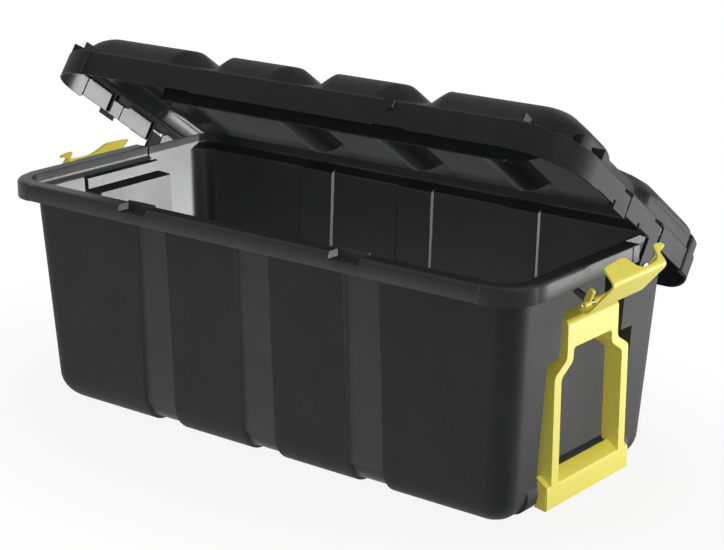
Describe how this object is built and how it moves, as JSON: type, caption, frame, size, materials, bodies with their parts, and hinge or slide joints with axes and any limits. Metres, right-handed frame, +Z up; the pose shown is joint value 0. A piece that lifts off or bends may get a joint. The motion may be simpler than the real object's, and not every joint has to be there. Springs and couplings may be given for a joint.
{
  "type": "storage trunk",
  "caption": "Large moulded plastic storage trunk: ribbed tub, domed lid hinged at the ends, clip latch and swing-out pull handle on each end.",
  "frame": {"origin": "centre of the tub's underside, on the surface that it stands on", "axes": "+X towards one end (the right end seen from the front), -Y towards the front, +Z up"},
  "size_m": [1.0602, 0.5079, 0.5714],
  "materials": {
    "tub_black": "charcoal black moulded polypropylene, fine orange-peel grain on the panels, smooth channels and rim",
    "lid_black": "charcoal black moulded polypropylene, smooth satin",
    "latch_yellow": "warm yellow moulded polypropylene, satin",
    "handle_yellow": "warm yellow moulded polypropylene, satin",
    "pin_steel": "plain drawn steel"
  },
  "bodies": {
    "tub": {"tub": "tub_black", "lid_pin_left": "pin_steel", "lid_pin_right": "pin_steel", "latch_pin_left": "pin_steel", "latch_pin_right": "pin_steel"},
    "lid": {"lid": "lid_black"},
    "latch_left": {"latch_left": "latch_yellow"},
    "latch_right": {"latch_right": "latch_yellow"},
    "handle_left": {"handle_left": "handle_yellow"},
    "handle_right": {"handle_right": "handle_yellow"}
  },
  "joints": [
    {"name": "lid_hinge", "type": "hinge", "parent": "tub", "child": "lid", "pos_m": [0, 0.0786, 0.3283], "axis": [-1, 0, 0], "range_deg": [-34.6, 1.7]},
    {"name": "latch_hinge_right", "type": "hinge", "parent": "tub", "child": "latch_right", "pos_m": [0.476, 0, 0.306], "axis": [0, 1, 0], "range_deg": [-20.2, 34]},
    {"name": "handle_hinge_right", "type": "hinge", "parent": "tub", "child": "handle_right", "pos_m": [0.412, 0, 0.036], "axis": [0, 1, 0], "range_deg": [0, 90]},
    {"name": "latch_hinge_left", "type": "hinge", "parent": "tub", "child": "latch_left", "pos_m": [-0.476, 0, 0.306], "axis": [0, -1, 0], "range_deg": [-20.2, 34]},
    {"name": "handle_hinge_left", "type": "hinge", "parent": "tub", "child": "handle_left", "pos_m": [-0.412, 0, 0.036], "axis": [0, -1, 0], "range_deg": [0, 90]}
  ]
}
